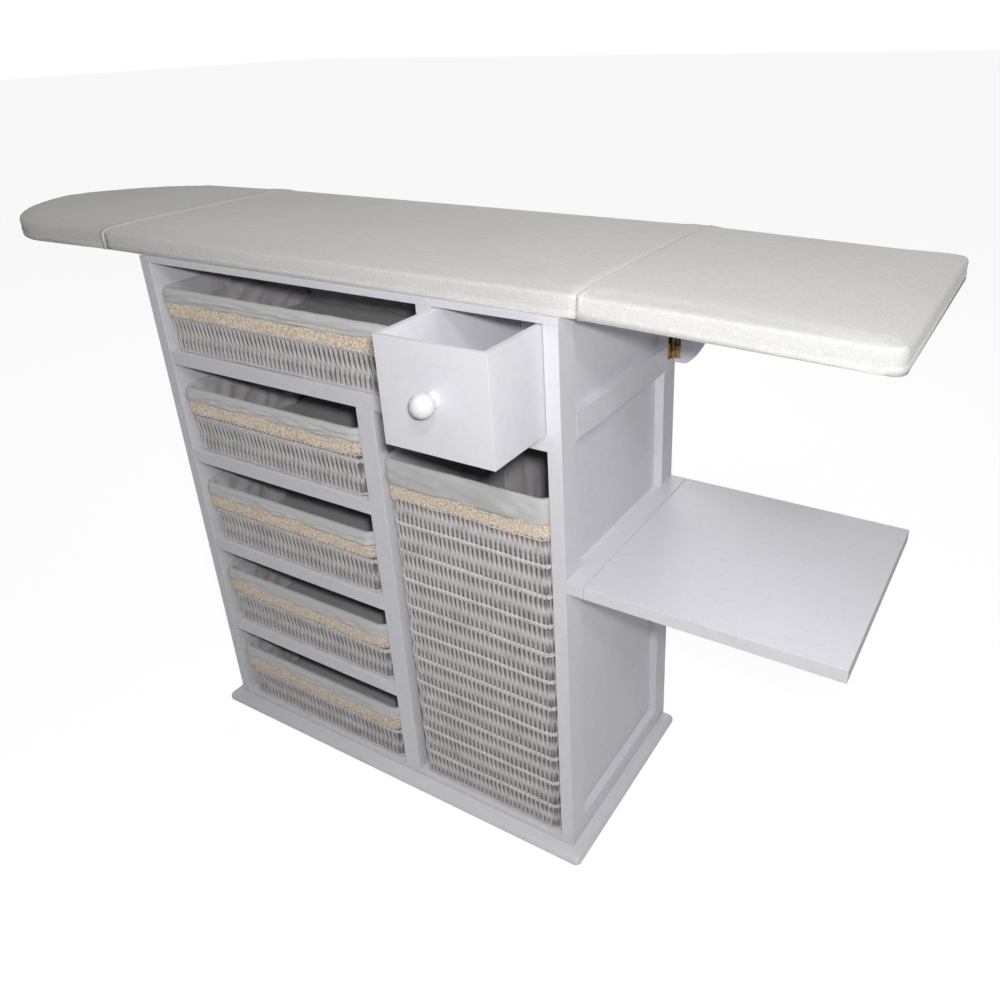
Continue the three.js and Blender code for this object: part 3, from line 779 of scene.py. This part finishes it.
def pad_hull(name, sizes):
    """The outside of a CAD pad as one closed form, filled out to its seams."""
    bm = merged_copy(f"{name}_pad")
    bmesh.ops.delete(bm, geom=bm.edges[:] + bm.faces[:], context="EDGES_FACES")
    up = pad_turn(name) @ UP
    foot = lowest(bm.verts, up)
    soft = sizes.seam_edge
    for away in pad_seams(name):
        seam = lowest(bm.verts, away)
        near = [vert.co.copy() for vert in bm.verts if vert.co.dot(away) < seam + SEAM_REACH]
        for spot in near:
            on_seam = spot - away * (spot.dot(away) - seam)
            if on_seam.dot(up) > foot + 2 * soft:
                bm.verts.new(on_seam + away * soft)
                bm.verts.new(on_seam - up * soft)
            else:
                bm.verts.new(on_seam)
    bmesh.ops.convex_hull(bm, input=bm.verts)
    bmesh.ops.delete(bm, geom=[vert for vert in bm.verts if not vert.link_faces], context="VERTS")
    bmesh.ops.dissolve_limit(bm, angle_limit=math.radians(0.2), verts=bm.verts, edges=bm.edges)
    return bm, up, foot


def net_of_threads(bm, directions, spacing):
    """Cuts bm's faces along even planes across each direction, clear of its ends."""
    for direction in directions:
        reach = [vert.co.dot(direction) for vert in bm.verts]
        low, high = min(reach) + 1.2 * spacing, max(reach) - 1.2 * spacing
        count = max(1, round((high - low) / spacing))
        for index in range(count + 1):
            plane = direction * (low + (high - low) * index / count)
            bmesh.ops.bisect_plane(
                bm, geom=everything(bm), dist=MERGE, plane_co=plane, plane_no=direction
            )
    bmesh.ops.triangulate(bm, faces=[face for face in bm.faces if len(face.verts) > 4])


def recess_foot(bm, up, foot, sizes):
    """Lifts the middle of a pad's underside, so that only its rim reaches the foot."""
    under = [face for face in bm.faces if face.calc_center_median().dot(up) < foot + MERGE]
    bmesh.ops.inset_region(bm, faces=under, thickness=sizes.rim, use_even_offset=True, use_boundary=True)
    inner = {vert for face in under for vert in face.verts}
    bmesh.ops.translate(bm, vec=up * sizes.recess, verts=list(inner))


def swell(piece, up, top, sizes):
    """Lets the padding push the cover out between its edges, which are held."""
    held = piece.vertex_groups.new(name="held")
    mesh = piece.data
    held.add([v.index for v in mesh.vertices if v.co.dot(up) < top - sizes.held_drop], 1.0, "REPLACE")
    cloth = piece.modifiers.new("cover", "CLOTH")
    fabric = cloth.settings
    fabric.use_pressure = True
    fabric.uniform_pressure_force = 4.0
    fabric.effector_weights.gravity = 0.0
    fabric.vertex_group_mass = "held"
    fabric.tension_stiffness = 12.0
    fabric.compression_stiffness = 12.0
    fabric.bending_stiffness = 1.5
    fabric.quality = 4
    cloth.point_cache.frame_start = 1
    cloth.point_cache.frame_end = sizes.frames
    start = [v.co.copy() for v in mesh.vertices]
    scene = bpy.context.scene
    for frame_number in range(1, sizes.frames + 1):
        scene.frame_set(frame_number)
    graph = bpy.context.evaluated_depsgraph_get()
    moved = [v.co.copy() for v in piece.evaluated_get(graph).data.vertices]
    piece.modifiers.remove(cloth)
    scene.frame_set(1)
    for vert, old, new in zip(mesh.vertices, start, moved):
        step = new - old
        if step.length > sizes.swell:
            step = step.normalized() * sizes.swell
        vert.co = old + step
    piece.vertex_groups.clear()


def make_pad(name, sizes):
    bm, up, foot = pad_hull(name, sizes)
    recess_foot(bm, up, foot, sizes)
    along = pad_seams(name)[0]
    net_of_threads(bm, (along, Vector((0, 1, 0))), sizes.grid)
    top = max(vert.co.dot(up) for vert in bm.verts)
    body = body_of(f"{name}_pad")
    pad = add_piece(f"{name}_cover", bm, "cover", body, (f"{name}_pad",), 50.0)
    swell(pad, up, top, sizes)
    return pad


def cover_band(name, suffix, pad, direction, width, sizes):
    """A band of cloth around the pad, from its start along a direction, laid on its surface."""
    bm, _, _ = pad_hull(name, sizes)
    start = lowest(frame["nodes"][f"{name}_pad"].data.vertices, direction)
    for distance, keep_above in ((start + width, False), (start + BAND_GAP, True)):
        bmesh.ops.bisect_plane(
            bm, geom=everything(bm), dist=MERGE, plane_co=direction * distance, plane_no=direction,
            clear_inner=keep_above, clear_outer=not keep_above,
        )
    ends = [face for face in bm.faces if abs(abs(face.normal.dot(direction)) - 1.0) < 0.01]
    bmesh.ops.delete(bm, geom=ends, context="FACES")
    bmesh.ops.triangulate(bm, faces=bm.faces)
    for _ in range(6):
        long_edges = [edge for edge in bm.edges if edge.calc_length() > LONGEST_EDGE]
        if not long_edges:
            break
        bmesh.ops.subdivide_edges(bm, edges=long_edges, cuts=1, use_grid_fill=False)
        bmesh.ops.triangulate(bm, faces=[face for face in bm.faces if len(face.verts) > 4])
    body = body_of(f"{name}_pad")
    band = add_piece(f"{name}_{suffix}", bm, "cover", body, (), 50.0)
    wrap = band.modifiers.new("lay", "SHRINKWRAP")
    wrap.target = pad
    wrap.wrap_mode = "OUTSIDE_SURFACE"
    wrap.offset = sizes.band * 0.6
    thickness = band.modifiers.new("cloth", "SOLIDIFY")
    thickness.thickness = sizes.band
    thickness.offset = 0.0
    graph = bpy.context.evaluated_depsgraph_get()
    laid = bpy.data.meshes.new_from_object(band.evaluated_get(graph))
    band.modifiers.clear()
    band.data = laid


# ---- operators ------------------------------------------------------------------


class CABINET_OT_finishes(bpy.types.Operator):
    """Make the paint, cloth, willow and brass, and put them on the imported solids"""

    bl_idname = "cabinet.finishes"
    bl_label = "Finishes"

    def execute(self, context):
        make_finishes(context.scene.cabinet_finishes)
        worn = {
            "white_paint": "paint", "plywood": "plywood", "pad_cover": "cover",
            "wicker": "willow", "liner_cotton": "liner", "hinge_brass": "brass",
        }
        for node, solid in frame["nodes"].items():
            solid.data.materials.clear()
            solid.data.materials.append(FINISHES[worn[SLOTS[node]]])
        return {"FINISHED"}


class CABINET_OT_boards(bpy.types.Operator):
    """Round the edges of the painted boards"""

    bl_idname = "cabinet.boards"
    bl_label = "Painted Boards"

    def execute(self, context):
        sizes = context.scene.cabinet_boards
        for node in frame["nodes"]:
            if SLOTS[node] != "white_paint" or node in ("base_board", "drawer_knob"):
                continue
            bm = merged_copy(node)
            round_edges(bm, sizes.drawer_edge if node.startswith("drawer") else sizes.edge)
            add_piece(f"{node}_board", bm, "paint", body_of(node), (node,))
        low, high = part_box("base_board")
        bm = bmesh.new()
        bmesh.ops.create_cube(bm, size=1.0)
        bmesh.ops.scale(bm, vec=high - low, verts=bm.verts)
        bmesh.ops.translate(bm, vec=(low + high) / 2, verts=bm.verts)
        upright = [edge for edge in bm.edges if abs(edge.verts[0].co.z - edge.verts[1].co.z) > MM]
        bevel(bm, upright, sizes.nosing * 1.2, 8)
        round_edges(bm, sizes.nosing, 8, 60.0)
        add_piece("base_board_nosed", bm, "paint", "cabinet", ("base_board",), 30.0)
        return {"FINISHED"}


class CABINET_OT_knob(bpy.types.Operator):
    """Turn the drawer's knob"""

    bl_idname = "cabinet.knob"
    bl_label = "Knob"

    def execute(self, context):
        sizes = context.scene.cabinet_boards
        low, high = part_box("drawer_knob")
        radius = (high.x - low.x) / 2
        middle = Vector(((low.x + high.x) / 2, low.y + radius, (low.z + high.z) / 2))
        bm = bmesh.new()
        pole = bm.verts.new((middle.x, low.y, middle.z))
        neck_turn = math.pi - math.asin(sizes.knob_neck / radius)
        bmesh.ops.spin(bm, geom=[pole], cent=middle, axis=(0, 0, 1), angle=neck_turn, steps=22)
        tip = max(bm.verts, key=lambda vert: vert.co.y)
        for across, along in (
            (sizes.knob_neck, high.y - 3 * MM), (sizes.knob_base - MM, high.y - 2 * MM),
            (sizes.knob_base, high.y - MM), (sizes.knob_base, high.y), (0.0, high.y),
        ):
            tip = bmesh.ops.extrude_vert_indiv(bm, verts=[tip])["verts"][0]
            tip.co = (middle.x + across, along, middle.z)
        bmesh.ops.spin(
            bm, geom=everything(bm), cent=middle, axis=(0, 1, 0), angle=math.tau, steps=48,
            use_merge=True,
        )
        bmesh.ops.remove_doubles(bm, verts=bm.verts, dist=1e-5)
        bmesh.ops.recalc_face_normals(bm, faces=bm.faces)
        add_piece("drawer_knob_turned", bm, "paint", "drawer", ("drawer_knob",), 40.0)
        return {"FINISHED"}


class CABINET_OT_screws(bpy.types.Operator):
    """Put screws in the hinge leaves"""

    bl_idname = "cabinet.screws"
    bl_label = "Hinge Screws"

    def execute(self, context):
        radius = context.scene.cabinet_boards.screw
        for node in frame["nodes"]:
            if not node.endswith("leaf"):
                continue
            low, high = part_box(node)
            size = high - low
            bm = bmesh.new()
            if "arm" in node:
                facing = "x" if "fixed" in node else "y"
                outward = Vector((1, 0, 0)) if "fixed" in node else Vector((0, -1, 0))
                if "left" in node and "fixed" in node:
                    outward = -outward
                along, run = UP, size.z
            else:
                facing, outward = "z", -UP
                along, run = Vector((0, 1, 0)), size.y
            for share in SCREW_SHARES:
                spot = (low + high) / 2 + along * run * share
                leaf_place(spot, node, low, high, facing, outward)
                place = Matrix.Translation(spot)
                bmesh.ops.create_uvsphere(bm, u_segments=10, v_segments=6, radius=radius, matrix=place)
                head = [vert for vert in bm.verts if (vert.co - spot).length < radius * 1.2]
                flat = Matrix.Scale(0.35, 4, outward)
                bmesh.ops.transform(bm, matrix=flat, space=place.inverted(), verts=head)
            add_piece(f"{node}_screws", bm, "brass", body_of(node), (), 60.0)
        return {"FINISHED"}


def leaf_place(spot, node, low, high, facing, outward):
    """Moves a screw's place onto the leaf's open face, clear of the knuckles."""
    left = node.startswith("left")
    if facing == "z":
        inset = 6.5 * MM
        spot.x = low.x + inset if left != ("fixed" in node) else high.x - inset
        spot.z = high.z - LEAF_THICKNESS
    elif facing == "x":
        spot.y = low.y + 5.0 * MM
        spot.x = low.x + LEAF_THICKNESS if outward.x > 0 else high.x - LEAF_THICKNESS
    else:
        spot.x = low.x + 5.0 * MM if left else high.x - 5.0 * MM
        spot.y = high.y - LEAF_THICKNESS


class CABINET_OT_baskets(bpy.types.Operator):
    """Weave the baskets"""

    bl_idname = "cabinet.baskets"
    bl_label = "Woven Baskets"

    def execute(self, context):
        for name in BASKETS:
            weave_basket(name, context.scene.cabinet_weave)
        return {"FINISHED"}


class CABINET_OT_liners(bpy.types.Operator):
    """Hang the liners in the baskets, with their crocheted edging"""

    bl_idname = "cabinet.liners"
    bl_label = "Liners"

    def execute(self, context):
        scene = context.scene
        for name in BASKETS:
            line_basket(name, scene.cabinet_liners, scene.cabinet_weave)
            edge_basket(name, scene.cabinet_liners, scene.cabinet_weave)
        return {"FINISHED"}


class CABINET_OT_pads(bpy.types.Operator):
    """Pad and cover the board and its flaps"""

    bl_idname = "cabinet.pads"
    bl_label = "Padded Board"

    def execute(self, context):
        sizes = context.scene.cabinet_pads
        for name in ("centre", "right", "left"):
            pad = make_pad(name, sizes)
            cover_band(name, "hem", pad, pad_turn(name) @ UP, sizes.hem, sizes)
            if name != "centre":
                cover_band(name, "binding", pad, pad_seams(name)[0], sizes.binding, sizes)
        return {"FINISHED"}


def seen_or_lit(tree, seen, lit):
    """Shows one shader to the camera and gives another one's light to the object."""
    mix = tree.nodes.new("ShaderNodeMixShader")
    path = tree.nodes.new("ShaderNodeLightPath")
    output = next(node for node in tree.nodes if node.bl_idname.startswith("ShaderNodeOutput"))
    tree.links.new(path.outputs["Is Camera Ray"], mix.inputs["Fac"])
    tree.links.new(lit, mix.inputs[1])
    tree.links.new(seen, mix.inputs[2])
    tree.links.new(mix.outputs["Shader"], output.inputs["Surface"])


def lay_paper(settings):
    """The pale floor, and the white paper that the camera sees all around."""
    paper = Finish("floor_paper", (0.93, 0.93, 0.93), 0.9)
    glow = paper.add("Emission", Strength=0.93 * settings.paper)
    faint = paper.add("BsdfDiffuse", Color=(0.14, 0.14, 0.14, 1.0))
    both = paper.add("AddShader")
    paper.link(glow.outputs["Emission"], both.inputs[0])
    paper.link(faint.outputs["BSDF"], both.inputs[1])
    seen_or_lit(paper.tree, both.outputs["Shader"], paper.shader.outputs["BSDF"])

    bm = bmesh.new()
    bmesh.ops.create_grid(bm, x_segments=1, y_segments=1, size=30.0)
    mesh = bpy.data.meshes.new("floor")
    bm.to_mesh(mesh)
    bm.free()
    mesh.materials.append(paper.material)
    in_scene("floor", mesh)

    world = bpy.data.worlds.new("surroundings")
    world.use_nodes = True
    dim = world.node_tree.nodes["Background"]
    dim.inputs["Color"].default_value = (0.97, 0.975, 1.0, 1.0)
    dim.inputs["Strength"].default_value = settings.sky
    bright = world.node_tree.nodes.new("ShaderNodeBackground")
    bright.inputs["Color"].default_value = (1.0, 1.0, 1.0, 1.0)
    bright.inputs["Strength"].default_value = settings.paper
    seen_or_lit(world.node_tree, bright.outputs["Background"], dim.outputs["Background"])
    bpy.context.scene.world = world


def set_camera(settings):
    """Places the camera, and returns its right and up directions."""
    camera = bpy.data.cameras.new("camera")
    camera.sensor_width = 36.0
    camera.lens = settings.lens
    camera.shift_x, camera.shift_y = settings.shift
    yaw, pitch, roll = settings.yaw, settings.pitch, settings.roll
    forward = Vector((
        -math.sin(yaw) * math.cos(pitch), math.cos(yaw) * math.cos(pitch), -math.sin(pitch)
    ))
    level = Vector((math.cos(yaw), math.sin(yaw), 0.0))
    upright = level.cross(forward)
    right = level * math.cos(roll) + upright * math.sin(roll)
    up = upright * math.cos(roll) - level * math.sin(roll)
    viewer = in_scene("camera", camera)
    turn = Matrix((right, up, -forward)).transposed().to_4x4()
    viewer.matrix_world = Matrix.Translation(Vector(settings.eye)) @ turn
    bpy.context.scene.camera = viewer
    return right, up


def area_light(name, place, aim, size, power):
    data = bpy.data.lights.new(name, "AREA")
    data.shape = "DISK"
    data.size = size
    data.energy = power
    lamp = in_scene(name, data)
    lamp.location = place
    lamp.rotation_euler = (Vector(aim) - Vector(place)).to_track_quat("-Z", "Y").to_euler()


class CABINET_OT_stage(bpy.types.Operator):
    """Set the floor, the lights and the camera"""

    bl_idname = "cabinet.stage"
    bl_label = "Stage"

    def execute(self, context):
        settings = context.scene.cabinet_stage
        lay_paper(settings)
        right, up = set_camera(settings)
        eye = Vector(settings.eye)
        area_light("flash", eye + up * 0.05 + right * 0.03, (0.0, -0.1, 0.45), 0.06, settings.flash)
        behind = right.cross(up)
        area_light("fill", eye + behind + up * 0.7 + right * 0.1, (0.0, -0.1, 0.6), 0.4, settings.fill)
        area_light("window", (1.6, 0.3, 2.0), (0.3, 0.1, 0.5), 1.2, settings.window)
        area_light("above", (-0.5, -0.7, 2.4), (-0.2, 0.0, 0.8), 1.2, settings.top)
        area_light("rear", (-0.9, 2.2, 1.4), (0.0, 0.0, 0.4), 1.5, settings.rear)
        context.scene.view_settings.view_transform = "Standard"
        return {"FINISHED"}


class CABINET_PT_panel(bpy.types.Panel):
    """Lists the steps that finish the cabinet"""

    bl_idname = "CABINET_PT_panel"
    bl_label = "Ironing-Board Cabinet"
    bl_space_type = "VIEW_3D"
    bl_region_type = "UI"
    bl_category = "Cabinet"

    def draw(self, context):
        for step in STEPS:
            self.layout.operator(step.bl_idname)
        for group in GROUPS:
            settings = getattr(context.scene, group)
            box = self.layout.box()
            for name in settings.bl_rna.properties.keys():
                if name not in {"rna_type", "name"}:
                    box.prop(settings, name)


STEPS = (
    CABINET_OT_stage, CABINET_OT_finishes, CABINET_OT_boards, CABINET_OT_knob,
    CABINET_OT_screws, CABINET_OT_baskets, CABINET_OT_liners, CABINET_OT_pads,
)
GROUPS = {
    "cabinet_finishes": CabinetFinishes,
    "cabinet_boards": BoardSizes,
    "cabinet_weave": WeaveSizes,
    "cabinet_liners": LinerSizes,
    "cabinet_pads": PadSizes,
    "cabinet_stage": StageSettings,
}
CLASSES = (*GROUPS.values(), *STEPS, CABINET_PT_panel)


def register():
    for item in CLASSES:
        bpy.utils.register_class(item)
    for name, group in GROUPS.items():
        setattr(bpy.types.Scene, name, PointerProperty(type=group))


def unregister():
    for name in GROUPS:
        delattr(bpy.types.Scene, name)
    for item in reversed(CLASSES):
        bpy.utils.unregister_class(item)


def main():
    register()
    for step in STEPS:
        category, operator = step.bl_idname.split(".")
        getattr(getattr(bpy.ops, category), operator)()


if __name__ == "__main__":
    main()
